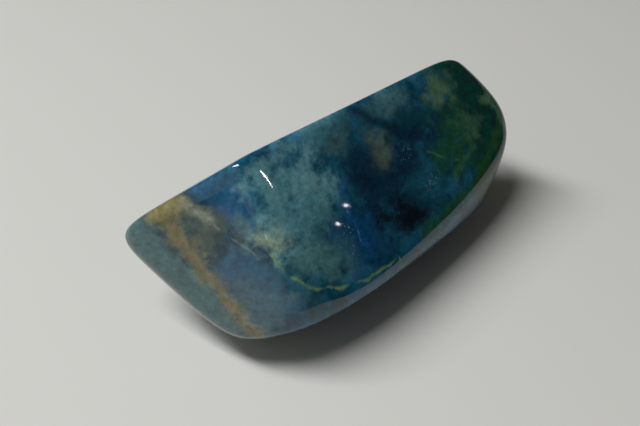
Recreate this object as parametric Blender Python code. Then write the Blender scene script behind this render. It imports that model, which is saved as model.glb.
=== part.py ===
"""A tumbled nugget of blue-green jadeite, lying on the small flat worn under it.

The stone is one solid, a rounded three-sided bar. Its long axis runs along +X, its broad
polished face looks to -Y and up, and its tight ridge runs along the top. The left end (-X)
is undercut, so that it stands clear of the surface below.

The form is what tumbling leaves of a block: every side is a worn flat, and where flats meet
the edge is rounded over. Each flat is named below with the way it faces and how far it lies
from the stone's middle. The origin is at the middle of the bounding box, on the underside.
"""

from typing import NamedTuple

import bmesh
import bpy
import numpy as np
from mathutils import Matrix

MM = 0.001


class WornFlat(NamedTuple):
    """A worn side: its heading about +Z from +X and its rise above level, in degrees,
    and its distance from the stone's middle, in mm."""

    heading: float
    rise: float
    reach: float


class WornHollow(NamedTuple):
    """A shallow dip in a side, at a heading and a rise in degrees as seen from the middle,
    with its radius and its depth in mm."""

    heading: float
    rise: float
    radius: float
    depth: float


FLATS = {
    "polished face": WornFlat(-81.5, 35.5, 8.8),
    "left face": WornFlat(-142.5, 19, 18.8),
    "left shoulder": WornFlat(-99, 19.5, 13.3),
    "left cheek": WornFlat(-143, -4, 27.0),
    "left undercut": WornFlat(176.5, -30.5, 24.7),
    "left tip": WornFlat(129, 18, 30.2),
    "left underside": WornFlat(180, -58, 21.5),
    "front left strip": WornFlat(-95.5, -15, 17.9),
    "front strip": WornFlat(-80, -3.5, 14.1),
    "front right strip": WornFlat(-69.5, -6.5, 17.8),
    "right cheek": WornFlat(-60, 0, 27.5),
    "right end": WornFlat(-14.5, 40, 29.1),
    "right nose": WornFlat(17, 8.5, 36.4),
    "right underside": WornFlat(5, -35, 28.0),
    "belly": WornFlat(-87.5, -47, 13.7),
    "right belly": WornFlat(-76.5, -26.5, 19.0),
    "left belly": WornFlat(-103.5, -51, 15.2),
    "low corner": WornFlat(-139, -45.5, 21.9),
    "underside": WornFlat(0, -90, 15.4),
    "back": WornFlat(89.5, 42.5, 11.5),
    "left back": WornFlat(102, 10, 17.8),
    "right back": WornFlat(57, 12.5, 23.3),
    "lower back": WornFlat(88, -6, 14.2),
    "back underside": WornFlat(95, -46, 14.8),
}
HOLLOWS = {
    "old chip in the back, worn smooth": WornHollow(72, 20, 8.0, 0.9),
    "dip beside it": WornHollow(128, 8, 6.5, 0.6),
}
MIDDLE_HEIGHT = 15.0  # mm from the resting flat up to the stone's middle
EDGE_TIGHTNESS = 18  # higher leaves less rounding where two flats meet
GRID_CUTS = 60  # quads along each side of the starting block
BLOCK_STRETCH = (2.2, 1.0, 1.0)  # the block's proportions, which space the quads evenly
RIDGE_LEAN = 4.6  # degrees that the ridge lies back of straight up, as seen from the middle
KEPT_FACES = 0.19  # share of the fine mesh's triangles kept, most of them on the edges
SAME_POINT = 1e-7  # metres

STONE_COLOUR = (0.030, 0.095, 0.130, 1.0)
STONE_ROUGHNESS = 0.12
STONE_METALLIC = 0.0


def clear_scene():
    for obj in list(bpy.data.objects):
        bpy.data.objects.remove(obj, do_unlink=True)


def facing(heading, rise):
    """The unit vector of a heading and a rise in degrees."""
    turn, lift = np.radians(heading), np.radians(rise)
    level = np.cos(lift)
    return np.array([level * np.cos(turn), level * np.sin(turn), np.sin(lift)])


def worn_radius(rays):
    """How far the surface lies from the middle along each unit ray, in mm.

    One flat alone would stop a ray at reach / (normal . ray). The flats are blended by a
    high power, so that the nearest one rules and the edges between them are rounded.
    """
    normals = np.array([facing(flat.heading, flat.rise) for flat in FLATS.values()])
    reaches = np.array([flat.reach for flat in FLATS.values()])
    nearness = np.maximum(rays @ normals.T, 0.0) / reaches
    blend = (nearness**EDGE_TIGHTNESS).sum(axis=1) ** (1.0 / EDGE_TIGHTNESS)
    return 1.0 / blend


def with_hollows(points):
    """The points in mm, sunk towards the middle by each hollow."""
    for hollow in HOLLOWS.values():
        toward = facing(hollow.heading, hollow.rise)
        mouth = toward * worn_radius(toward[None, :])
        away = np.linalg.norm(points - mouth, axis=1) / hollow.radius
        sink = hollow.depth * np.exp(-(away**2))
        length = np.linalg.norm(points, axis=1)
        points = points * (1.0 - sink / length)[:, None]
    return points


def block_mesh():
    """A cube with an even grid on every side, swollen to a ball and stretched along X.

    It leans back by RIDGE_LEAN, so that the grid's middle line runs along the ridge.
    """
    mesh = bmesh.new()
    bmesh.ops.create_cube(mesh, size=2.0)
    bmesh.ops.subdivide_edges(mesh, edges=mesh.edges[:], cuts=GRID_CUTS - 1, use_grid_fill=True)
    for vertex in mesh.verts:
        even = np.tan(np.array(vertex.co) * np.pi / 4)
        vertex.co = even / np.linalg.norm(even) * BLOCK_STRETCH
    lean = Matrix.Rotation(-np.radians(RIDGE_LEAN), 3, "X")
    bmesh.ops.rotate(mesh, verts=mesh.verts[:], matrix=lean)
    return mesh


def points_of(mesh):
    return np.array([vertex.co for vertex in mesh.verts])


def move_points(mesh, points):
    for vertex, point in zip(mesh.verts, points):
        vertex.co = point


def wear(mesh):
    """Moves every point of the block along its own ray onto the worn surface."""
    points = points_of(mesh)
    rays = points / np.linalg.norm(points, axis=1)[:, None]
    worn = with_hollows(rays * worn_radius(rays)[:, None])
    move_points(mesh, (worn + (0.0, 0.0, MIDDLE_HEIGHT)) * MM)


def thin_out(mesh):
    """Merges the triangles where the stone is nearly flat, and keeps them on its edges."""
    data = bpy.data.meshes.new("fine_stone")
    mesh.to_mesh(data)
    fine = bpy.data.objects.new("fine_stone", data)
    bpy.context.scene.collection.objects.link(fine)
    fewer = fine.modifiers.new("fewer_faces", "DECIMATE")
    fewer.ratio = KEPT_FACES
    thinned = fine.evaluated_get(bpy.context.evaluated_depsgraph_get()).to_mesh()
    mesh.clear()
    mesh.from_mesh(thinned)
    bpy.data.objects.remove(fine)
    bpy.data.meshes.remove(data)


def cut_resting_flat(mesh):
    """Cuts the stone off level at Z = 0 and closes the cut with one flat face."""
    whole = mesh.verts[:] + mesh.edges[:] + mesh.faces[:]
    bmesh.ops.bisect_plane(
        mesh, geom=whole, plane_co=(0, 0, 0), plane_no=(0, 0, 1), clear_inner=True
    )
    rim = [edge for edge in mesh.edges if edge.is_boundary]
    bmesh.ops.contextual_create(mesh, geom=rim)
    bmesh.ops.remove_doubles(mesh, verts=mesh.verts[:], dist=SAME_POINT)
    bmesh.ops.recalc_face_normals(mesh, faces=mesh.faces[:])


def centre_over_origin(mesh):
    """Slides the stone level, so that the box's middle stands over the origin."""
    points = points_of(mesh)
    middle = (points.min(axis=0) + points.max(axis=0)) / 2
    bmesh.ops.translate(mesh, verts=mesh.verts[:], vec=(-middle[0], -middle[1], 0.0))


def jadeite_material():
    """Polished jadeite: deep blue-green, with a glassy polish."""
    material = bpy.data.materials.new("polished_jadeite")
    material.use_nodes = True
    shader = material.node_tree.nodes["Principled BSDF"]
    shader.inputs["Base Color"].default_value = STONE_COLOUR
    shader.inputs["Roughness"].default_value = STONE_ROUGHNESS
    shader.inputs["Metallic"].default_value = STONE_METALLIC
    return material


def build_stone():
    mesh = block_mesh()
    wear(mesh)
    thin_out(mesh)
    cut_resting_flat(mesh)
    centre_over_origin(mesh)
    data = bpy.data.meshes.new("jadeite_stone")
    mesh.to_mesh(data)
    mesh.free()
    data.shade_smooth()
    data.materials.append(jadeite_material())
    stone = bpy.data.objects.new("jadeite_stone", data)
    bpy.context.scene.collection.objects.link(stone)
    return stone


clear_scene()
build_stone()
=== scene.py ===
"""A tumbled nugget of blue-green jadeite on a plain pale floor, in soft light from the left.

The stone is one piece: a rounded three-sided bar with a broad polished face that looks up
and towards the viewer, a tight ridge along the top, and a left end cut back underneath.
Sizes are in millimetres up to the last step, which scales a mesh to metres. Places on the
stone are measured from its middle, the point that all of its worn flats are measured from.
"""

import logging
import math
from dataclasses import dataclass, field
from enum import Enum
from typing import Any

import bpy
import numpy as np
from mathutils import Matrix, Vector


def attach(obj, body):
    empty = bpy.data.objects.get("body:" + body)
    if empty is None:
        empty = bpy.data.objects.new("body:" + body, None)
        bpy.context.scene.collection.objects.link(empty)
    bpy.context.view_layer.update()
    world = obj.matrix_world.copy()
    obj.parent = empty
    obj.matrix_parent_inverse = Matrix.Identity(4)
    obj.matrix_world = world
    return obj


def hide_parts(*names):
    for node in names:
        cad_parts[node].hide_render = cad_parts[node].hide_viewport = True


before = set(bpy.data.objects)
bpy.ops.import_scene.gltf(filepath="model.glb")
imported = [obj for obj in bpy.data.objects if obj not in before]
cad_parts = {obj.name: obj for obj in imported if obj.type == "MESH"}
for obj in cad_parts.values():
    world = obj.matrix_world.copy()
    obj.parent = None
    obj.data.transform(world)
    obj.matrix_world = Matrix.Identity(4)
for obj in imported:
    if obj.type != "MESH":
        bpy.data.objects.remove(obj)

LOG = logging.getLogger("jadeite_nugget")
MM = 0.001

Point = tuple[float, float, float]
Span = tuple[float, float]


def linear_colour(hex_code: str, alpha: float = 1.0) -> tuple[float, float, float, float]:
    """Turns an sRGB hex colour into the linear values that a shader takes.

    Args:
        hex_code: Six hex digits, with or without a leading hash.
        alpha: The fourth value.

    Returns:
        Red, green, blue and alpha, linear.
    """
    digits = hex_code.lstrip("#")
    parts = [int(digits[at : at + 2], 16) / 255 for at in (0, 2, 4)]
    red, green, blue = (
        part / 12.92 if part <= 0.04045 else ((part + 0.055) / 1.055) ** 2.4 for part in parts
    )
    return red, green, blue, alpha


def facing(heading: float, rise: float) -> np.ndarray:
    """Gives the unit vector of a heading about +Z from +X and a rise above level.

    Args:
        heading: Degrees about +Z, from +X.
        rise: Degrees above level.

    Returns:
        The unit vector.
    """
    turn, lift = math.radians(heading), math.radians(rise)
    level = math.cos(lift)
    return np.array([level * math.cos(turn), level * math.sin(turn), math.sin(lift)])


def add_node(
    tree: bpy.types.NodeTree,
    kind: str,
    settings: dict[str, Any] | None = None,
    values: dict[int | str, Any] | None = None,
    links: dict[int | str, bpy.types.NodeSocket] | None = None,
) -> bpy.types.Node:
    """Adds a node with its settings, its own input values and its links.

    Args:
        tree: The node tree to add it to.
        kind: The node's type, without the word ShaderNode.
        settings: Properties of the node itself.
        values: Input sockets by name or number, with the value each holds.
        links: Input sockets by name or number, with the output each is fed from.

    Returns:
        The new node.
    """
    node = tree.nodes.new("ShaderNode" + kind)
    for name, value in (settings or {}).items():
        setattr(node, name, value)
    for socket, value in (values or {}).items():
        node.inputs[socket].default_value = value
    for socket, source in (links or {}).items():
        tree.links.new(source, node.inputs[socket])
    return node


def only_selected(obj: bpy.types.Object) -> None:
    """Deselects everything else, so that an operator acts on this object alone."""
    bpy.ops.object.select_all(action="DESELECT")
    obj.select_set(True)
    bpy.context.view_layer.objects.active = obj


class Tint(Enum):
    """The jadeite's colours, from its near-black blue to its palest clouds and its stains, with
    a painted glint and a painted edge glow among them.
    """

    BLACK_BLUE = "#000a16"
    NAVY = "#01233a"
    DARK_TEAL = "#033c49"
    DEEP_BLUE = "#033f68"
    STREAK_BLUE = "#0c4c88"
    BLUE_TEAL = "#0f4e64"
    ROYAL_BLUE = "#1c5080"
    MID_BLUE = "#295f7d"
    SKY_BLUE = "#44809f"
    PALE_BLUE = "#64969f"
    CLOUD_TEAL = "#4b7f89"
    SOFT_TEAL = "#487577"
    PALE_SAGE = "#82937f"
    HAZE = "#446f78"
    TAN = "#5f6c59"
    OLIVE_GREY = "#567a60"
    BOTTLE_GREEN = "#03372d"
    GREEN = "#154a31"
    RIM_GREEN = "#24502a"
    # leaf green, also used for the painted glow of a thin edge
    LEAF = "#74985a"
    SLATE = "#405f62"
    SHADE_TEAL = "#17383f"
    GREY_BLUE = "#3f5963"
    BROWN_GREY = "#4d584d"
    OCHRE = "#7a754e"
    RUST = "#65552f"
    SEAM = "#8b9283"
    SPECK = "#8fb0b8"
    # painted glint, in leaf green
    BRIGHT_LEAF = "#b4c850"


@dataclass(frozen=True)
class WornFlat:
    """A side that tumbling wore flat, by the way it faces and how far out it lies."""

    heading: float
    rise: float
    reach: float


@dataclass(frozen=True)
class WornHollow:
    """A shallow worn dip, by the way it lies from the middle, its radius and its depth."""

    heading: float
    rise: float
    radius: float
    depth: float


@dataclass(frozen=True)
class Cloud:
    """A soft patch of one tint in the stone, with its middle and its reach along each axis.

    Strength is how much of the tint shows in its middle. Softness is the width of its edge,
    and ragged is how far wisps break that edge, both as a share of its reach.
    """

    tint: Tint
    place: Point
    reach: Point
    strength: float = 0.9
    softness: float = 0.9
    ragged: float = 1.4


@dataclass(frozen=True)
class Vein:
    """A seam of one tint that runs through the given places.

    Wander is how far it strays from them, as a share of the stone's waver, and patchy is
    how much of its width fails in places.
    """

    tint: Tint
    path: tuple[Point, ...]
    width: float
    strength: float = 0.8
    wander: float = 0.5
    patchy: float = 0.4


@dataclass(frozen=True)
class HealedCrack:
    """A flat crack right through the stone, stained, seen wherever it meets the surface.

    Place is a point on its plane and across is the direction square to it.
    """

    tint: Tint
    place: Point
    across: Point
    width: float
    strength: float = 0.8
    wander: float = 0.8
    patchy: float = 0.5


@dataclass(frozen=True)
class SpeckCluster:
    """A loose cluster of pale specks under the polish."""

    place: Point
    reach: float
    strength: float = 0.6


CLOUDS = (
    # the left end, this side of the brown crack and beyond it
    Cloud(Tint.SHADE_TEAL, (-32.0, 2.0, 2.0), (14.5, 18.0, 19.0), 0.95, 0.35, 0.5),
    Cloud(Tint.GREY_BLUE, (-21.0, -7.0, -4.5), (6.5, 6.5, 5.5), 0.9, 1.17, 1.2),
    Cloud(Tint.GREY_BLUE, (-22.5, -3.5, 0.5), (3.2, 3.5, 4.0), 0.6, 1.17, 1.6),
    Cloud(Tint.BROWN_GREY, (-22.6, 0.8, 8.0), (3.6, 4.6, 3.4), 0.7, 1.04, 1.2),
    Cloud(Tint.BROWN_GREY, (-19.5, -4.5, 6.5), (2.2, 3.2, 2.6), 0.6, 1.17, 1.4),
    Cloud(Tint.DEEP_BLUE, (-20.3, -4.3, 2.6), (2.6, 3.4, 3.0), 0.45, 1.17, 1.5),
    Cloud(Tint.MID_BLUE, (-21.0, -3.2, 3.2), (1.0, 1.3, 1.0), 0.6, 1.17, 1.6),
    Cloud(Tint.SLATE, (-48.6, 17.6, -24.4), (47.3, 47.3, 47.3), 0.95, 0.04, 0.04),
    # blue along the ridge and down the edge of the left face
    Cloud(Tint.ROYAL_BLUE, (-17.6, -2.6, 11.8), (2.8, 4.2, 4.4), 0.65, 1.04, 1.3),
    Cloud(Tint.ROYAL_BLUE, (-20.4, 2.0, 12.2), (2.4, 3.2, 2.4), 0.5, 1.17, 1.5),
    Cloud(Tint.MID_BLUE, (-9.0, -1.0, 14.5), (8.0, 5.5, 4.2), 0.9, 1.04, 1.2),
    Cloud(Tint.SKY_BLUE, (-5.8, -0.8, 15.2), (3.2, 2.2, 2.0), 0.75, 0.6, 0.9),
    Cloud(Tint.CLOUD_TEAL, (-1.4, -0.2, 14.8), (5.4, 3.2, 3.0), 0.95, 1.1, 1.1),
    # the field of pale clouds on the polished face
    Cloud(Tint.PALE_BLUE, (-12.8, -1.8, 15.0), (4.0, 3.2, 3.0), 0.75, 1.17, 1.8),
    Cloud(Tint.CLOUD_TEAL, (-11.5, -5.8, 9.0), (7.8, 6.8, 8.2), 1.0, 0.78, 1.0),
    # pale cloud round the crescent glint: the stone's pale blue, widened as a painted highlight
    Cloud(Tint.PALE_BLUE, (-13.8, -3.2, 13.5), (2.4, 2.6, 2.8), 0.8, 1.0, 0.8),
    Cloud(Tint.MID_BLUE, (-12.2, -5.2, 10.4), (2.6, 2.4, 1.8), 0.5, 1.17, 1.8),
    Cloud(Tint.PALE_BLUE, (-7.2, -3.4, 11.6), (4.2, 3.4, 3.2), 0.85, 1.17, 1.9),
    Cloud(Tint.PALE_SAGE, (-15.8, -7.0, 7.4), (3.2, 3.0, 3.3), 0.9, 1.04, 1.2),
    Cloud(Tint.PALE_BLUE, (-13.8, -6.0, 9.6), (3.4, 3.0, 3.0), 0.6, 1.17, 2.0),
    Cloud(Tint.SOFT_TEAL, (-10.2, -10.0, 3.0), (6.0, 5.0, 4.6), 0.95, 1.04, 1.3),
    Cloud(Tint.PALE_BLUE, (-13.8, -9.1, 4.6), (3.8, 3.0, 2.8), 0.65, 1.17, 1.8),
    Cloud(Tint.BLUE_TEAL, (-8.6, -9.0, 4.4), (2.4, 2.2, 2.2), 0.55, 1.17, 1.8),
    Cloud(Tint.SOFT_TEAL, (-14.6, -10.3, 2.7), (2.8, 2.4, 2.6), 0.8, 1.1, 1.0),
    Cloud(Tint.GREY_BLUE, (-19.0, -3.1, 9.1), (1.9, 2.1, 2.1), 0.7, 1.1, 1.0),
    # dark teal under the leaf line: the stone's teal, darkened as a painted reflection of the
    # shadowed floor
    Cloud(Tint.DARK_TEAL, (-12.0, -13.2, -2.6), (4.6, 2.6, 1.9), 0.9, 0.78, 0.8),
    # the deep blue middle
    Cloud(Tint.DEEP_BLUE, (-2.4, -9.5, 2.4), (4.8, 4.6, 5.0), 0.85, 1.04, 1.3),
    Cloud(Tint.NAVY, (1.6, -4.2, 9.4), (4.2, 3.6, 4.0), 0.9, 1.04, 1.3),
    Cloud(Tint.NAVY, (4.6, -6.8, 4.6), (5.6, 4.2, 4.6), 0.9, 1.04, 1.2),
    Cloud(Tint.BLACK_BLUE, (7.6, -9.2, 0.6), (5.8, 3.6, 3.2), 0.98, 0.91, 1.1),
    Cloud(Tint.BLUE_TEAL, (1.0, -1.4, 13.0), (3.6, 2.6, 2.6), 0.7, 1.17, 1.5),
    Cloud(Tint.TAN, (6.4, -3.2, 9.4), (2.6, 2.3, 3.1), 0.62, 1.17, 1.3),
    Cloud(Tint.TAN, (0.4, -1.4, 12.9), (2.6, 1.8, 1.8), 0.25, 1.17, 1.8),
    # haze under the ridge, dark beside it, and the speckled blue below
    Cloud(Tint.HAZE, (11.6, 0.2, 13.0), (5.2, 3.0, 2.8), 0.95, 1.04, 1.3),
    Cloud(Tint.DARK_TEAL, (13.6, -2.2, 9.2), (5.6, 3.2, 2.8), 0.9, 1.04, 1.2),
    Cloud(Tint.DARK_TEAL, (18.6, 0.2, 11.0), (2.2, 2.6, 2.6), 0.85, 1.17, 1.3),
    Cloud(Tint.NAVY, (10.8, -5.4, 5.8), (4.6, 3.6, 3.6), 0.85, 1.1, 1.2),
    Cloud(Tint.BLUE_TEAL, (13.2, -6.8, 2.8), (4.0, 3.2, 3.0), 0.6, 1.17, 1.6),
    # the green right end
    Cloud(Tint.BOTTLE_GREEN, (60.0, -2.0, 4.0), (47.0, 47.0, 47.0), 0.95, 0.2, 0.25),
    Cloud(Tint.OLIVE_GREY, (22.2, 0.0, 10.8), (4.0, 2.6, 2.8), 0.72, 1.17, 1.4),
    Cloud(Tint.GREEN, (21.2, -4.8, 4.2), (4.6, 3.8, 4.4), 0.9, 1.17, 1.7),
    Cloud(Tint.OLIVE_GREY, (24.6, -4.0, 4.8), (3.2, 2.6, 2.6), 0.25, 1.17, 2.0),
    Cloud(Tint.OLIVE_GREY, (30.6, -1.8, 6.1), (1.6, 1.4, 1.2), 0.6, 1.04, 1.6),
    # painted glint: a bright leaf-green spot on the lower edge, where the rim catches the light
    Cloud(Tint.BRIGHT_LEAF, (1.4, -12.9, -3.3), (0.45, 0.7, 0.45), 0.9, 0.9, 0.6),
    # the hidden back, underside and right end, in the same manner
    Cloud(Tint.MID_BLUE, (2.0, 9.5, 6.0), (9.0, 6.0, 6.5), 0.8, 1.17, 1.5),
    Cloud(Tint.CLOUD_TEAL, (-5.0, 11.0, 3.0), (5.5, 5.0, 4.5), 0.8, 1.17, 1.8),
    Cloud(Tint.PALE_BLUE, (5.5, 8.0, 8.5), (3.6, 3.6, 3.2), 0.6, 1.17, 2.0),
    Cloud(Tint.DARK_TEAL, (15.0, 11.0, 0.0), (6.0, 5.0, 6.0), 0.8, 1.17, 1.5),
    Cloud(Tint.SOFT_TEAL, (-14.0, 10.0, -4.0), (5.0, 5.0, 5.5), 0.7, 1.17, 1.8),
    Cloud(Tint.TAN, (9.0, 12.0, -3.0), (3.0, 3.0, 3.4), 0.6, 1.17, 1.8),
    Cloud(Tint.NAVY, (-6.0, 8.0, -10.0), (8.0, 6.0, 5.0), 0.8, 1.17, 1.5),
)

VEINS = (
    # dark band slanting down from the ridge
    Vein(
        Tint.NAVY,
        ((4.6, 1.0, 15.4), (8.4, -1.2, 11.8), (13.0, -2.8, 8.6), (17.5, -4.0, 6.4)),
        1.7,
        0.8,
    ),
    # deep blue streaks down the middle
    Vein(
        Tint.STREAK_BLUE,
        ((-2.2, -5.4, 8.4), (-3.0, -8.2, 4.6), (-2.6, -10.8, 0.6)),
        1.2,
        0.75,
        0.5,
        0.6,
    ),
    # green and olive along the lower edge of the polished face
    Vein(
        Tint.RIM_GREEN,
        (
            (9.0, -12.0, -3.0),
            (15.6, -10.4, -2.6),
            (21.6, -9.1, -2.2),
            (26.4, -7.4, -0.8),
            (32.4, -4.6, 1.8),
        ),
        1.9,
        0.85,
        0.5,
        0.3,
    ),
    Vein(
        Tint.OLIVE_GREY,
        ((18.6, -8.2, 0.0), (22.6, -6.4, 1.6), (26.4, -4.4, 3.2)),
        1.1,
        0.22,
        0.8,
        0.7,
    ),
    # leaf-green line that ends the pale field below: in part the stone's green, in part painted
    # glow of the thin edge where the face turns down
    Vein(
        Tint.LEAF,
        (
            (-17.3, -6.7, 5.8),
            (-15.6, -10.0, 2.2),
            (-14.1, -11.6, 0.5),
            (-11.8, -12.4, -0.9),
            (-9.0, -12.9, -1.8),
            (-6.4, -13.2, -2.4),
            (-4.0, -13.2, -2.8),
            (1.5, -12.7, -3.1),
        ),
        0.42,
        0.75,
        0.3,
        0.4,
    ),
    # pale band round the corner of the right end
    Vein(
        Tint.OLIVE_GREY,
        ((32.2, 0.6, 7.6), (32.3, -2.2, 4.9), (33.4, -4.4, 1.3)),
        1.3,
        0.75,
        0.4,
        0.4,
    ),
    # pale seam beside the brown crack, and the thin line that carries it on
    Vein(
        Tint.SEAM,
        ((-23.4, 4.2, 10.9), (-22.4, 2.2, 10.2), (-21.5, 0.4, 9.0)),
        1.5,
        0.75,
        0.35,
        0.35,
    ),
    Vein(
        Tint.SEAM,
        ((-21.5, 0.4, 9.0), (-20.0, -2.7, 6.7), (-18.4, -6.0, 4.9)),
        0.3,
        0.36,
        0.3,
        0.3,
    ),
    # hairlines
    Vein(
        Tint.PALE_BLUE,
        ((-3.2, -7.4, 5.6), (-2.8, -8.8, 3.8), (-3.1, -10.1, 1.7)),
        0.22,
        0.6,
        0.25,
    ),
    Vein(
        Tint.OLIVE_GREY,
        ((15.0, -4.6, 5.6), (18.2, -5.9, 3.2), (20.6, -6.6, 1.8)),
        0.26,
        0.42,
        0.25,
    ),
    # ochre stain where the brown crack meets the ridge
    Vein(
        Tint.OCHRE,
        ((-26.0, 7.2, 8.2), (-24.8, 5.4, 9.6), (-23.6, 4.6, 10.6)),
        2.7,
        1.0,
        0.6,
        0.2,
    ),
)

# one healed crack, stained ochre right through, with a patchy rust line in it
CRACKS = (
    HealedCrack(Tint.OCHRE, (-23.2, -1.6, 0.6), (0.619, -0.474, 0.626), 2.2, 0.7, 0.5, 0.45),
    HealedCrack(Tint.RUST, (-23.5, -1.7, 0.6), (0.619, -0.474, 0.626), 1.0, 0.5, 0.6, 0.95),
)

# where pale specks gather
SPECKS = (
    SpeckCluster((11.2, -4.6, 6.6), 2.8, 0.4),
    SpeckCluster((13.6, -7.2, 2.4), 3.2, 0.45),
    SpeckCluster((-4.4, -9.0, 3.6), 1.8, 0.6),
    SpeckCluster((-17.3, -1.6, 14.2), 2.0, 0.5),
    SpeckCluster((-5.0, -10.6, 1.4), 2.4, 0.4),
    SpeckCluster((4.0, 10.0, 6.0), 3.0, 0.5),
)


@dataclass(frozen=True)
class PolishedJadeite:
    """Polished jadeite: interlocking grains, slightly translucent, brought to a glassy shine.

    To the eye it is a deep blue-green body with pale clouds that seem to lie under the
    surface, stained brown along one healed crack, under a hard wet-looking polish.
    """

    name: str = "polished_jadeite"
    ior: float = 1.66
    polish: Span = (0.012, 0.035)  # roughness, from the glassiest grains to the dullest
    polish_span: Span = (0.35, 0.65)  # the wisps' noise at those two
    glow: float = 0.12  # share of the light that goes into the stone and out again
    glow_depth_mm: float = 0.8
    glow_reach: Point = (0.6, 1.0, 0.9)  # how far red, green and blue go, in such depths
    mottle_mm: float = 5.0
    # the noise at which the body is of each tint
    mottles: tuple[tuple[float, Tint], ...] = (
        (0.32, Tint.NAVY),
        (0.52, Tint.BLUE_TEAL),
        (0.70, Tint.MID_BLUE),
    )
    wisp_mm: float = 2.6
    wisp_span: Span = (0.24, 0.76)  # the noise from the thinnest wisp to the thickest
    swirl_mm: float = 6.5  # size of the swirls that push the clouds about
    drift_mm: float = 2.2  # how far they push them
    waver_mm: float = 2.5  # size of the bends in veins and cracks
    bend_mm: float = 1.0  # how far those go, at a wander of 1
    push_gain: float = 4.0  # noise strays a quarter from its mean; this brings that to 1
    cloud_edge: float = 0.85  # where a cloud ends, as a share of its reach
    line_span: Span = (0.25, 0.70)  # the wisps' noise where a line is thinnest and widest
    line_swell: float = 0.4  # share of a line's patchiness that widens it
    grain_mm: float = 1.1
    grain_span: Span = (0.32, 0.68)  # the noise from the darkest grain to the brightest
    grain_lift: float = 1.08  # brightness of a middling grain
    grain_depth: float = 0.36  # how far the darkest and the brightest stray from it
    speck_mm: float = 0.5  # spacing of the specks
    speck_sizes: Span = (0.11, 0.5)  # their reach, as a share of the spacing
    small_share: float = 0.2  # share of the specks that keep the smaller size
    speck_core: float = 0.1  # the part of a speck that is at full strength

    def make(self, middle: Point) -> bpy.types.Material:
        """Builds the material.

        Args:
            middle: The stone's middle in the part's frame, in mm.

        Returns:
            The material.
        """
        material = bpy.data.materials.new(self.name)
        material.use_nodes = True
        tree = material.node_tree
        shader = tree.nodes["Principled BSDF"]
        shader.inputs["IOR"].default_value = self.ior
        shader.inputs["Metallic"].default_value = 0.0
        shader.inputs["Subsurface Weight"].default_value = self.glow
        shader.inputs["Subsurface Radius"].default_value = self.glow_reach
        shader.inputs["Subsurface Scale"].default_value = self.glow_depth_mm * MM
        here = add_node(tree, "TexCoord").outputs["Object"]
        place = add_node(
            tree,
            "Mapping",
            {"vector_type": "TEXTURE"},
            {"Location": tuple(MM * part for part in middle), "Scale": (MM, MM, MM)},
            {"Vector": here},
        ).outputs["Vector"]
        smoke = add_node(
            tree,
            "TexNoise",
            None,
            {"Scale": 1.0 / self.wisp_mm, "Detail": 6.0, "Roughness": 0.66},
            {"Vector": place},
        ).outputs["Fac"]
        wisps = add_node(
            tree,
            "MapRange",
            {"clamp": False},
            {"From Min": self.wisp_span[0], "From Max": self.wisp_span[1]},
            {"Value": smoke},
        ).outputs["Result"]
        drifted = self.drifted(tree, place, 1.0 / self.swirl_mm, self.drift_mm, 4.0)
        colour = self.body_colour(tree, drifted)
        for cloud in CLOUDS:
            colour = self.with_cloud(tree, drifted, wisps, colour, cloud)
        waver = self.drifted(tree, place, 1.0 / self.waver_mm, self.bend_mm, 2.0)
        for vein in VEINS:
            gap = self.gap_to_path(tree, self.blend(tree, place, waver, vein.wander), vein.path)
            colour = self.with_line(tree, wisps, colour, gap, vein)
        for crack in CRACKS:
            gap = self.gap_to_crack(tree, self.blend(tree, place, waver, crack.wander), crack)
            colour = self.with_line(tree, wisps, colour, gap, crack)
        colour = self.with_specks(tree, place, colour)
        colour = self.with_grain(tree, place, colour)
        tree.links.new(colour, shader.inputs["Base Color"])
        sheen = add_node(
            tree,
            "MapRange",
            None,
            {
                "From Min": self.polish_span[0],
                "From Max": self.polish_span[1],
                "To Min": self.polish[0],
                "To Max": self.polish[1],
            },
            {"Value": smoke},
        )
        tree.links.new(sheen.outputs["Result"], shader.inputs["Roughness"])
        return material

    def drifted(
        self,
        tree: bpy.types.NodeTree,
        place: bpy.types.NodeSocket,
        scale: float,
        amount: float,
        detail: float,
    ) -> bpy.types.NodeSocket:
        """Pushes places about by soft noise, so that nothing in the stone has a clean outline.

        Args:
            tree: The material's node tree.
            place: The place on the stone in mm from its middle.
            scale: The noise's scale, in swells to the mm.
            amount: How far the push goes in mm, as a rule.
            detail: How many finer swells ride on the noise.

        Returns:
            The place pushed about.
        """
        swell = add_node(
            tree, "TexNoise", None, {"Scale": scale, "Detail": detail}, {"Vector": place}
        )
        centred = add_node(
            tree,
            "VectorMath",
            {"operation": "SUBTRACT"},
            {1: (0.5, 0.5, 0.5)},
            {0: swell.outputs["Color"]},
        )
        return add_node(
            tree,
            "VectorMath",
            {"operation": "MULTIPLY_ADD"},
            {1: (self.push_gain * amount,) * 3},
            {0: centred.outputs["Vector"], 2: place},
        ).outputs["Vector"]

    def blend(
        self,
        tree: bpy.types.NodeTree,
        place: bpy.types.NodeSocket,
        pushed: bpy.types.NodeSocket,
        share: float,
    ) -> bpy.types.NodeSocket:
        """Goes part of the way from a place to where it was pushed.

        Args:
            tree: The material's node tree.
            place: The place on the stone in mm from its middle.
            pushed: The place pushed about.
            share: How much of the push to take.

        Returns:
            The place between the two.
        """
        return add_node(
            tree,
            "Mix",
            {"data_type": "VECTOR", "clamp_factor": False},
            {0: share},
            {4: place, 5: pushed},
        ).outputs[1]

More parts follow.
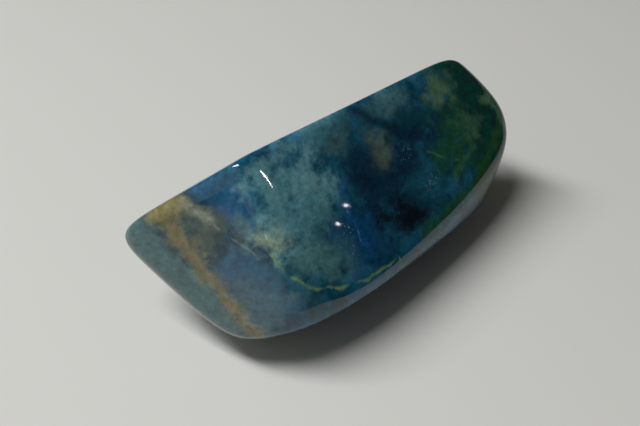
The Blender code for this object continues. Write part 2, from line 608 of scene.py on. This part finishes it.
    def body_colour(
        self, tree: bpy.types.NodeTree, place: bpy.types.NodeSocket
    ) -> bpy.types.NodeSocket:
        """Mixes the stone's body from navy to blue in soft mottles.

        Args:
            tree: The material's node tree.
            place: The place on the stone in mm from its middle.

        Returns:
            The colour so far.
        """
        mottle = add_node(
            tree,
            "TexNoise",
            None,
            {"Scale": 1.0 / self.mottle_mm, "Detail": 6.0, "Roughness": 0.62, "Distortion": 0.4},
            {"Vector": place},
        )
        ramp = add_node(tree, "ValToRGB", None, None, {"Fac": mottle.outputs["Fac"]})
        stops = ramp.color_ramp.elements
        (low, dark), (between, medium), (high, pale) = self.mottles
        stops[0].position, stops[0].color = low, linear_colour(dark.value)
        stops[1].position, stops[1].color = high, linear_colour(pale.value)
        stops.new(between).color = linear_colour(medium.value)
        return ramp.outputs["Color"]

    def tinted(
        self,
        tree: bpy.types.NodeTree,
        under: bpy.types.NodeSocket,
        tint: Tint,
        share: bpy.types.NodeSocket,
    ) -> bpy.types.NodeSocket:
        """Mixes a tint into the colour so far.

        Args:
            tree: The material's node tree.
            under: The colour so far.
            tint: The tint to mix in.
            share: How much of the tint shows.

        Returns:
            The mixed colour.
        """
        return add_node(
            tree,
            "Mix",
            {"data_type": "RGBA"},
            {7: linear_colour(tint.value)},
            {0: share, 6: under},
        ).outputs[2]

    def with_cloud(
        self,
        tree: bpy.types.NodeTree,
        place: bpy.types.NodeSocket,
        wisps: bpy.types.NodeSocket,
        under: bpy.types.NodeSocket,
        cloud: Cloud,
    ) -> bpy.types.NodeSocket:
        """Lays one cloud over the colour so far.

        Args:
            tree: The material's node tree.
            place: The place on the stone in mm from its middle, pushed about.
            wisps: The noise that breaks the clouds' edges.
            under: The colour so far.
            cloud: The cloud to lay over it.

        Returns:
            The colour with the cloud in it.
        """
        fitted = add_node(
            tree,
            "Mapping",
            {"vector_type": "TEXTURE"},
            {"Location": cloud.place, "Scale": cloud.reach},
            {"Vector": place},
        )
        away = add_node(
            tree, "VectorMath", {"operation": "LENGTH"}, None, {0: fitted.outputs["Vector"]}
        )
        edge = add_node(
            tree,
            "Math",
            {"operation": "MULTIPLY_ADD"},
            {1: -cloud.ragged},
            {0: wisps, 2: away.outputs["Value"]},
        )
        rim = self.cloud_edge - cloud.ragged / 2
        share = add_node(
            tree,
            "MapRange",
            {"interpolation_type": "SMOOTHSTEP"},
            {
                "From Min": rim + cloud.softness / 2,
                "From Max": rim - cloud.softness / 2,
                "To Max": cloud.strength,
            },
            {"Value": edge.outputs["Value"]},
        )
        return self.tinted(tree, under, cloud.tint, share.outputs["Result"])

    def gap_to_path(
        self, tree: bpy.types.NodeTree, place: bpy.types.NodeSocket, path: tuple[Point, ...]
    ) -> bpy.types.NodeSocket:
        """Measures how far a place lies from the nearest leg of a path.

        Args:
            tree: The material's node tree.
            place: The place on the stone in mm from its middle.
            path: The places that the path runs through.

        Returns:
            The distance in mm.
        """
        nearest = None
        for start, end in zip(path, path[1:]):
            run = Vector(end) - Vector(start)
            offset = add_node(
                tree, "VectorMath", {"operation": "SUBTRACT"}, {1: start}, {0: place}
            )
            along = add_node(
                tree,
                "VectorMath",
                {"operation": "DOT_PRODUCT"},
                {1: tuple(run / run.length_squared)},
                {0: offset.outputs["Vector"]},
            )
            short = add_node(
                tree, "Math", {"operation": "MINIMUM"}, {1: 1.0}, {0: along.outputs["Value"]}
            )
            held = add_node(
                tree, "Math", {"operation": "MAXIMUM"}, {1: 0.0}, {0: short.outputs["Value"]}
            )
            foot = add_node(
                tree,
                "VectorMath",
                {"operation": "SCALE"},
                {0: tuple(run)},
                {"Scale": held.outputs["Value"]},
            )
            gap = add_node(
                tree,
                "VectorMath",
                {"operation": "DISTANCE"},
                None,
                {0: offset.outputs["Vector"], 1: foot.outputs["Vector"]},
            ).outputs["Value"]
            if nearest is None:
                nearest = gap
                continue
            nearest = add_node(
                tree, "Math", {"operation": "MINIMUM"}, None, {0: nearest, 1: gap}
            ).outputs["Value"]
        return nearest

    def gap_to_crack(
        self, tree: bpy.types.NodeTree, place: bpy.types.NodeSocket, crack: HealedCrack
    ) -> bpy.types.NodeSocket:
        """Measures how far a place lies from a crack's plane.

        Args:
            tree: The material's node tree.
            place: The place on the stone in mm from its middle.
            crack: The crack.

        Returns:
            The distance in mm.
        """
        across = Vector(crack.across).normalized()
        offset = add_node(
            tree, "VectorMath", {"operation": "SUBTRACT"}, {1: crack.place}, {0: place}
        )
        side = add_node(
            tree,
            "VectorMath",
            {"operation": "DOT_PRODUCT"},
            {1: tuple(across)},
            {0: offset.outputs["Vector"]},
        )
        return add_node(
            tree, "Math", {"operation": "ABSOLUTE"}, None, {0: side.outputs["Value"]}
        ).outputs["Value"]

    def with_line(
        self,
        tree: bpy.types.NodeTree,
        wisps: bpy.types.NodeSocket,
        under: bpy.types.NodeSocket,
        gap: bpy.types.NodeSocket,
        line: Vein | HealedCrack,
    ) -> bpy.types.NodeSocket:
        """Runs a vein or a crack over the colour so far, thinner where its patches fail.

        Args:
            tree: The material's node tree.
            wisps: The noise that makes the line patchy.
            under: The colour so far.
            gap: The distance in mm from the line's middle.
            line: The vein or the crack.

        Returns:
            The colour with the line in it.
        """
        span = add_node(
            tree,
            "MapRange",
            {"interpolation_type": "SMOOTHSTEP"},
            {
                "From Min": self.line_span[0],
                "From Max": self.line_span[1],
                "To Min": 1.0 - line.patchy,
                "To Max": 1.0 + line.patchy * self.line_swell,
            },
            {"Value": wisps},
        )
        wide = add_node(
            tree,
            "Math",
            {"operation": "MULTIPLY"},
            {1: line.width},
            {0: span.outputs["Result"]},
        )
        share = add_node(
            tree,
            "MapRange",
            {"interpolation_type": "SMOOTHSTEP"},
            {"From Max": 0.0, "To Max": line.strength},
            {"Value": gap, "From Min": wide.outputs["Value"]},
        )
        return self.tinted(tree, under, line.tint, share.outputs["Result"])

    def with_specks(
        self, tree: bpy.types.NodeTree, place: bpy.types.NodeSocket, under: bpy.types.NodeSocket
    ) -> bpy.types.NodeSocket:
        """Scatters the clusters of pale specks.

        Args:
            tree: The material's node tree.
            place: The place on the stone in mm from its middle.
            under: The colour so far.

        Returns:
            The colour with the specks in it.
        """
        cells = add_node(
            tree,
            "TexVoronoi",
            None,
            {"Scale": 1.0 / self.speck_mm, "Randomness": 1.0},
            {"Vector": place},
        )
        hue = add_node(tree, "SeparateColor", None, None, {0: cells.outputs["Color"]})
        # real specks are a tenth of a millimetre; drawn about twice that, to be seen
        cell_size = add_node(
            tree,
            "MapRange",
            None,
            {
                "From Min": self.small_share,
                "To Min": self.speck_sizes[0],
                "To Max": self.speck_sizes[1],
            },
            {"Value": hue.outputs[0]},
        )
        dot = add_node(
            tree,
            "MapRange",
            {"interpolation_type": "SMOOTHSTEP"},
            {"From Max": self.speck_core},
            {"Value": cells.outputs["Distance"], "From Min": cell_size.outputs["Result"]},
        ).outputs["Result"]
        for cluster in SPECKS:
            away = add_node(
                tree,
                "VectorMath",
                {"operation": "DISTANCE"},
                {1: cluster.place},
                {0: place},
            )
            near = add_node(
                tree,
                "MapRange",
                {"interpolation_type": "SMOOTHSTEP"},
                {"From Min": cluster.reach, "From Max": 0.0, "To Max": cluster.strength},
                {"Value": away.outputs["Value"]},
            )
            share = add_node(
                tree,
                "Math",
                {"operation": "MULTIPLY"},
                None,
                {0: near.outputs["Result"], 1: dot},
            )
            under = self.tinted(tree, under, Tint.SPECK, share.outputs["Value"])
        return under

    def with_grain(
        self, tree: bpy.types.NodeTree, place: bpy.types.NodeSocket, under: bpy.types.NodeSocket
    ) -> bpy.types.NodeSocket:
        """Varies the brightness from grain to grain.

        Args:
            tree: The material's node tree.
            place: The place on the stone in mm from its middle.
            under: The colour so far.

        Returns:
            The colour with the grain in it.
        """
        # real grains are a few tenths of a millimetre; drawn coarser, to be seen
        grain = add_node(
            tree,
            "TexNoise",
            None,
            {"Scale": 1.0 / self.grain_mm, "Detail": 4.0, "Roughness": 0.72},
            {"Vector": place},
        )
        bright = add_node(
            tree,
            "MapRange",
            None,
            {
                "From Min": self.grain_span[0],
                "From Max": self.grain_span[1],
                "To Min": self.grain_lift - self.grain_depth,
                "To Max": self.grain_lift + self.grain_depth,
            },
            {"Value": grain.outputs["Fac"]},
        )
        return add_node(
            tree,
            "VectorMath",
            {"operation": "SCALE"},
            None,
            {0: under, "Scale": bright.outputs["Result"]},
        ).outputs["Vector"]


@dataclass(frozen=True)
class MatteSheet:
    """Uncoated paper or card: to the eye one even tone, with no shine."""

    name: str
    tint: str
    roughness: float

    def make(self) -> bpy.types.Material:
        """Builds the material.

        Returns:
            The material.
        """
        material = bpy.data.materials.new(self.name)
        material.use_nodes = True
        shader = material.node_tree.nodes["Principled BSDF"]
        shader.inputs["Base Color"].default_value = linear_colour(self.tint)
        shader.inputs["Roughness"].default_value = self.roughness
        return material


@dataclass
class Nugget:
    """The stone: its worn flats, its hollows and the polish over them."""

    middle_height: float = 15.0  # from the resting flat
    edge_tightness: float = 18.0  # higher leaves less rounding where two flats meet
    first_cuts: int = 14
    halvings: int = 3  # times that the quads left by the first cuts are halved
    stretch: Point = (2.2, 1.0, 1.0)  # the block's proportions, which space the quads
    ridge_lean: float = 4.6  # degrees that the ridge lies back of straight up
    wave_mm: float = 11.0
    wave_depth: float = 0.012
    same_point: float = 1e-7  # metres
    smooth_below: float = 30.0  # degrees; only the rim of the resting flat is sharper
    flats: tuple[WornFlat, ...] = (
        WornFlat(-81.5, 35.5, 8.8),  # polished face
        WornFlat(-142.5, 19, 18.8),  # left face
        WornFlat(-99, 19.5, 13.3),  # left shoulder
        WornFlat(-143, -4, 27.0),  # left cheek
        WornFlat(176.5, -30.5, 24.7),  # left undercut
        WornFlat(129, 18, 30.2),  # left tip
        WornFlat(180, -58, 21.5),  # left underside
        WornFlat(-95.5, -15, 17.9),  # front left strip
        WornFlat(-80, -3.5, 14.1),  # front strip
        WornFlat(-69.5, -6.5, 17.8),  # front right strip
        WornFlat(-60, 0, 27.5),  # right cheek
        WornFlat(-14.5, 40, 29.1),  # right end
        WornFlat(17, 8.5, 36.4),  # right nose
        WornFlat(5, -35, 28.0),  # right underside
        WornFlat(-87.5, -47, 13.7),  # belly
        WornFlat(-76.5, -26.5, 19.0),  # right belly
        WornFlat(-103.5, -51, 15.2),  # left belly
        WornFlat(-139, -45.5, 21.9),  # low corner
        WornFlat(0, -90, 15.4),  # underside
        WornFlat(89.5, 42.5, 11.5),  # back
        WornFlat(102, 10, 17.8),  # left back
        WornFlat(57, 12.5, 23.3),  # right back
        WornFlat(88, -6, 14.2),  # lower back
        WornFlat(95, -46, 14.8),  # back underside
    )
    hollows: tuple[WornHollow, ...] = (
        WornHollow(72, 20, 8.0, 0.9),  # old chip in the back, worn smooth
        WornHollow(128, 8, 6.5, 0.6),  # dip beside it
    )
    finish: PolishedJadeite = field(default_factory=PolishedJadeite)
    middle: Point = (0.0, 0.0, 15.0)

    def build(self) -> bpy.types.Object:
        """Makes the stone and dresses it.

        Returns:
            The finished piece, riding on the part's one body.
        """
        stone = self.start_block()
        self.wear(stone)
        self.polish(stone)
        self.cut_resting_flat(stone)
        stone.data.materials.append(self.finish.make(self.middle))
        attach(stone, "root")
        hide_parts("jadeite_stone")
        return stone

    def start_block(self) -> bpy.types.Object:
        """Adds a cube and divides its sides evenly.

        Returns:
            The block, two units across.
        """
        bpy.ops.object.select_all(action="DESELECT")
        bpy.ops.mesh.primitive_cube_add(size=2.0)
        block = bpy.context.object
        block.name = block.data.name = "polished_stone"
        bpy.ops.object.mode_set(mode="EDIT")
        bpy.ops.mesh.select_all(action="SELECT")
        bpy.ops.mesh.subdivide(number_cuts=self.first_cuts)
        bpy.ops.object.mode_set(mode="OBJECT")
        finer = block.modifiers.new("finer", "SUBSURF")
        finer.subdivision_type = "SIMPLE"
        finer.levels = finer.render_levels = self.halvings
        bpy.ops.object.modifier_apply(modifier=finer.name)
        return block

    def worn_radius(self, rays: np.ndarray) -> np.ndarray:
        """Finds how far the worn surface lies from the middle along each ray.

        Args:
            rays: Unit vectors, one in each row.

        Returns:
            The distances in mm.
        """
        normals = np.array([facing(flat.heading, flat.rise) for flat in self.flats])
        reaches = np.array([flat.reach for flat in self.flats])
        nearness = np.maximum(rays @ normals.T, 0.0) / reaches
        blend = (nearness**self.edge_tightness).sum(axis=1) ** (1.0 / self.edge_tightness)
        return 1.0 / blend

    def wear(self, block: bpy.types.Object) -> None:
        """Wears the block down to the stone's form, in mm around its middle.

        Args:
            block: The evenly divided cube.
        """
        points = np.empty(len(block.data.vertices) * 3)
        block.data.vertices.foreach_get("co", points)
        # the tangent spaces the points evenly once the cube is swollen to a ball
        even = np.tan(points.reshape(-1, 3) * math.pi / 4)
        ball = even / np.linalg.norm(even, axis=1)[:, None] * self.stretch
        lean = Matrix.Rotation(-math.radians(self.ridge_lean), 3, "X")
        rays = ball @ np.array(lean).T
        rays /= np.linalg.norm(rays, axis=1)[:, None]
        worn = rays * self.worn_radius(rays)[:, None]
        for hollow in self.hollows:
            toward = facing(hollow.heading, hollow.rise)
            mouth = toward * self.worn_radius(toward[None, :])
            away = np.linalg.norm(worn - mouth, axis=1) / hollow.radius
            sink = hollow.depth * np.exp(-(away**2))
            worn *= (1.0 - sink / np.linalg.norm(worn, axis=1))[:, None]
        kept = worn[worn[:, 2] >= -self.middle_height]
        middle = -(kept.min(axis=0) + kept.max(axis=0)) / 2
        self.middle = (float(middle[0]), float(middle[1]), self.middle_height)
        block.data.vertices.foreach_set("co", ((worn + self.middle) * MM).ravel())
        block.data.update()

    def polish(self, stone: bpy.types.Object) -> None:
        """Gives the polished sides the slight waves that tumbling leaves.

        Args:
            stone: The worn stone.
        """
        only_selected(stone)
        waves = bpy.data.textures.new("polish_waves", "CLOUDS")
        waves.noise_scale = self.wave_mm * MM
        waves.noise_depth = 1
        rolling = stone.modifiers.new("polish_waves", "DISPLACE")
        rolling.texture = waves
        rolling.texture_coords = "LOCAL"
        rolling.mid_level = 0.5
        rolling.strength = 2 * self.wave_depth * MM
        bpy.ops.object.modifier_apply(modifier=rolling.name)

    def cut_resting_flat(self, stone: bpy.types.Object) -> None:
        """Cuts the stone off level at the floor and closes the cut with one flat face.

        Args:
            stone: The polished stone.
        """
        only_selected(stone)
        bpy.ops.object.mode_set(mode="EDIT")
        bpy.ops.mesh.select_all(action="SELECT")
        bpy.ops.mesh.bisect(
            plane_co=(0.0, 0.0, 0.0),
            plane_no=(0.0, 0.0, 1.0),
            use_fill=True,
            clear_inner=True,
            threshold=self.same_point,
        )
        bpy.ops.object.mode_set(mode="OBJECT")
        bpy.ops.object.shade_smooth_by_angle(angle=math.radians(self.smooth_below))


@dataclass(frozen=True)
class Glint:
    """A bright reflection of a small lamp: a dot at one place, or a streak through several.

    Thickness is that of the lamp, and radiance is how bright its face is.
    """

    places: tuple[Point, ...]
    thickness: float
    radiance: float


@dataclass
class Studio:
    """The pale floor, the soft lights and the camera at the photographed angle.

    Headings are in degrees about +Z from +X, and rises in degrees above level.
    """

    middle: Point
    camera_from_middle: Point = (-95.86, -108.21, 119.9)
    aim_from_middle: Point = (9.61, 13.13, -15.0)
    lens_mm: float = 71.04
    sensor_mm: float = 36.0
    sight: Span = (10.0, 10000.0)  # the nearest and the farthest that the camera sees
    floor_width: float = 3000.0
    floor_sheet: MatteSheet = MatteSheet("matte_white_sheet", "#d6d6d2", 0.9)
    key_heading: float = 156.0
    key_rise: float = 62.5
    key_roll: float = 33.0  # degrees about its own axis
    key_distance: float = 540.0
    key_width: float = 420.0
    key_height: float = 92.0
    key_power: float = 2.6  # watts
    room_tint: Point = (1.0, 0.965, 0.88)
    room_dark: float = 0.03
    room_bright: float = 0.42
    bright_side: float = 168.0  # heading
    bright_span: Span = (0.1, 1.0)  # cosines to it where the dark ends and it is brightest
    card_heading: float = -75.0
    card_distance: float = 85.0
    card_width: float = 240.0
    card_height: float = 24.0
    card_fade: Span = (-0.5, 0.05)  # from clear to black, in shares of its width
    card_paper: MatteSheet = MatteSheet("black_card_paper", "#050506", 1.0)
    lamp_distance: float = 300.0
    glint_patch: float = 0.45  # reach of the patch whose facing sets a lamp's place
    glints: tuple[Glint, ...] = (
        Glint(((-3.0, -7.0, 6.1),), 1.3, 17.0),
        Glint(((-5.6, -8.2, 4.9),), 1.3, 17.0),
        Glint(((-16.9, -6.2, 7.6),), 3.2, 13.0),
        Glint(((-14.2, -2.0, 15.0), (-13.6, -3.0, 13.8), (-13.5, -3.6, 13.0)), 3.0, 30.0),
    )

    def build(self, stone: bpy.types.Object) -> None:
        """Makes the floor, the lights and the camera.

        Args:
            stone: The stone, for the small lamps to glint on.
        """
        self.add_floor()
        self.add_room()
        self.add_key()
        self.add_dark_card()
        for glint in self.glints:
            self.add_glint(stone, glint)
        self.add_camera()

    def add_floor(self) -> None:
        """Adds the plain pale floor."""
        bpy.ops.object.select_all(action="DESELECT")
        bpy.ops.mesh.primitive_plane_add(size=self.floor_width * MM)
        floor = bpy.context.object
        floor.name = "pale_floor"
        floor.data.materials.append(self.floor_sheet.make())

    def add_room(self) -> None:
        """Sets the dim light of the room, brighter low down on the left."""
        world = bpy.data.worlds.new("dim_room")
        world.use_nodes = True
        bpy.context.scene.world = world
        tree = world.node_tree
        back = tree.nodes["Background"]
        back.inputs["Color"].default_value = (*self.room_tint, 1.0)
        look = add_node(tree, "TexCoord").outputs["Generated"]
        toward = add_node(
            tree,
            "VectorMath",
            {"operation": "DOT_PRODUCT"},
            {1: tuple(facing(self.bright_side, 0.0))},
            {0: look},
        )
        level = add_node(
            tree,
            "MapRange",
            {"interpolation_type": "SMOOTHSTEP"},
            {
                "From Min": self.bright_span[0],
                "From Max": self.bright_span[1],
                "To Min": self.room_dark,
                "To Max": self.room_bright,
            },
            {"Value": toward.outputs["Value"]},
        )
        tree.links.new(level.outputs["Result"], back.inputs["Strength"])

    def add_key(self) -> None:
        """Adds the soft key light, a wide bar high on the left and a little behind."""
        data = bpy.data.lights.new("key_softbox", "AREA")
        data.shape = "RECTANGLE"
        data.size = self.key_width * MM
        data.size_y = self.key_height * MM
        data.energy = self.key_power
        key = bpy.data.objects.new("key_softbox", data)
        bpy.context.scene.collection.objects.link(key)
        toward = Vector(facing(self.key_heading, self.key_rise))
        key.location = toward * self.key_distance * MM
        rolled = toward.to_track_quat("Z", "Y").to_matrix() @ Matrix.Rotation(
            math.radians(self.key_roll), 3, "Z"
        )
        key.rotation_euler = rolled.to_euler()

    def add_dark_card(self) -> None:
        """Stands a black card low at the front right, seen only as a dark reflection.

        It fades out towards its left end, so that the reflection has no hard end.
        """
        bpy.ops.object.select_all(action="DESELECT")
        bpy.ops.mesh.primitive_plane_add(size=1.0)
        card = bpy.context.object
        card.name = "black_card"
        place = Vector(facing(self.card_heading, 0.0)) * self.card_distance
        card.location = (place + Vector((0.0, 0.0, self.card_height / 2))) * MM
        card.scale = (self.card_width * MM, self.card_height * MM, 1.0)
        card.rotation_euler = place.to_track_quat("Z", "Y").to_euler()
        material = self.card_paper.make()
        card.data.materials.append(material)
        tree = material.node_tree
        here = add_node(tree, "TexCoord").outputs["Object"]
        across = add_node(tree, "SeparateXYZ", None, None, {0: here})
        solid = add_node(
            tree,
            "MapRange",
            {"interpolation_type": "SMOOTHSTEP"},
            {"From Min": self.card_fade[0], "From Max": self.card_fade[1]},
            {"Value": across.outputs["X"]},
        )
        tree.links.new(
            solid.outputs["Result"], tree.nodes["Principled BSDF"].inputs["Alpha"]
        )
        card.visible_camera = False
        card.visible_diffuse = False
        card.visible_shadow = False
        card.visible_transmission = False

    def mirrored(self, stone: bpy.types.Object, place: Point) -> Vector:
        """Finds where a lamp must be for the camera to see it mirrored at a place.

        Args:
            stone: The polished stone.
            place: A place on its surface, in mm from its middle.

        Returns:
            The lamp's place in metres.
        """
        count = len(stone.data.vertices)
        points = np.empty(count * 3)
        stone.data.vertices.foreach_get("co", points)
        normals = np.empty(count * 3)
        stone.data.vertex_normals.foreach_get("vector", normals)
        spot = np.array(Vector(self.middle) + Vector(place)) * MM
        away = np.linalg.norm(points.reshape(-1, 3) - spot, axis=1)
        share = np.exp(-((away / (self.glint_patch * MM)) ** 2))
        normal = (normals.reshape(-1, 3) * share[:, None]).sum(axis=0)
        normal /= np.linalg.norm(normal)
        camera = np.array(Vector(self.middle) + Vector(self.camera_from_middle)) * MM
        sight = (spot - camera) / np.linalg.norm(spot - camera)
        bounce = sight - 2 * (sight @ normal) * normal
        return Vector(spot + bounce * self.lamp_distance * MM)

    def add_glint(self, stone: bpy.types.Object, glint: Glint) -> None:
        """Hangs the small lamps that one glint is the reflection of.

        Args:
            stone: The polished stone.
            glint: The glint.
        """
        spots = [self.mirrored(stone, place) for place in glint.places]
        toward = (spots[0] - Vector(self.middle) * MM).normalized()
        if len(spots) == 1:
            self.add_lamp(spots[0], toward.to_track_quat("Z", "Y").to_matrix(), "DISK", glint)
            return
        for start, end in zip(spots, spots[1:]):
            along = (end - start).normalized()
            side = toward.cross(along).normalized()
            axes = Matrix((along, side, along.cross(side))).transposed()
            self.add_lamp((start + end) / 2, axes, "RECTANGLE", glint, (end - start).length)

    def add_lamp(
        self, place: Vector, axes: Matrix, shape: str, glint: Glint, length: float = 0.0
    ) -> None:
        """Adds one small lamp.

        Args:
            place: Where it hangs, in metres.
            axes: Its own axes, with Z away from where it shines.
            shape: The shape of its face.
            glint: The glint that it makes.
            length: A bar lamp's length in metres.
        """
        data = bpy.data.lights.new("small_lamp", "AREA")
        data.shape = shape
        data.size = max(length, glint.thickness * MM)
        area = math.pi / 4 * data.size**2
        if shape == "RECTANGLE":
            data.size_y = glint.thickness * MM
            area = data.size * data.size_y
        data.energy = glint.radiance * math.pi * area
        lamp = bpy.data.objects.new("small_lamp", data)
        bpy.context.scene.collection.objects.link(lamp)
        lamp.location = place
        lamp.rotation_euler = axes.to_euler()

    def add_camera(self) -> None:
        """Puts the camera where the photograph was taken from."""
        data = bpy.data.cameras.new("photo_camera")
        data.lens = self.lens_mm
        data.sensor_width = self.sensor_mm
        data.clip_start, data.clip_end = (MM * reach for reach in self.sight)
        camera = bpy.data.objects.new("photo_camera", data)
        bpy.context.scene.collection.objects.link(camera)
        middle = Vector(self.middle)
        place = (middle + Vector(self.camera_from_middle)) * MM
        aim = (middle + Vector(self.aim_from_middle)) * MM
        camera.location = place
        camera.rotation_euler = (place - aim).to_track_quat("Z", "Y").to_euler()
        bpy.context.scene.camera = camera


def main() -> None:
    """Builds the stone and its studio."""
    logging.basicConfig(level=logging.INFO, format="%(name)s: %(message)s")
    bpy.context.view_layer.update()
    nugget = Nugget()
    stone = nugget.build()
    LOG.info("%s: %d faces, middle at %s", stone.name, len(stone.data.polygons), nugget.middle)
    Studio(nugget.middle).build(stone)
    bpy.context.scene.view_settings.view_transform = "Standard"


if __name__ == "__main__":
    main()
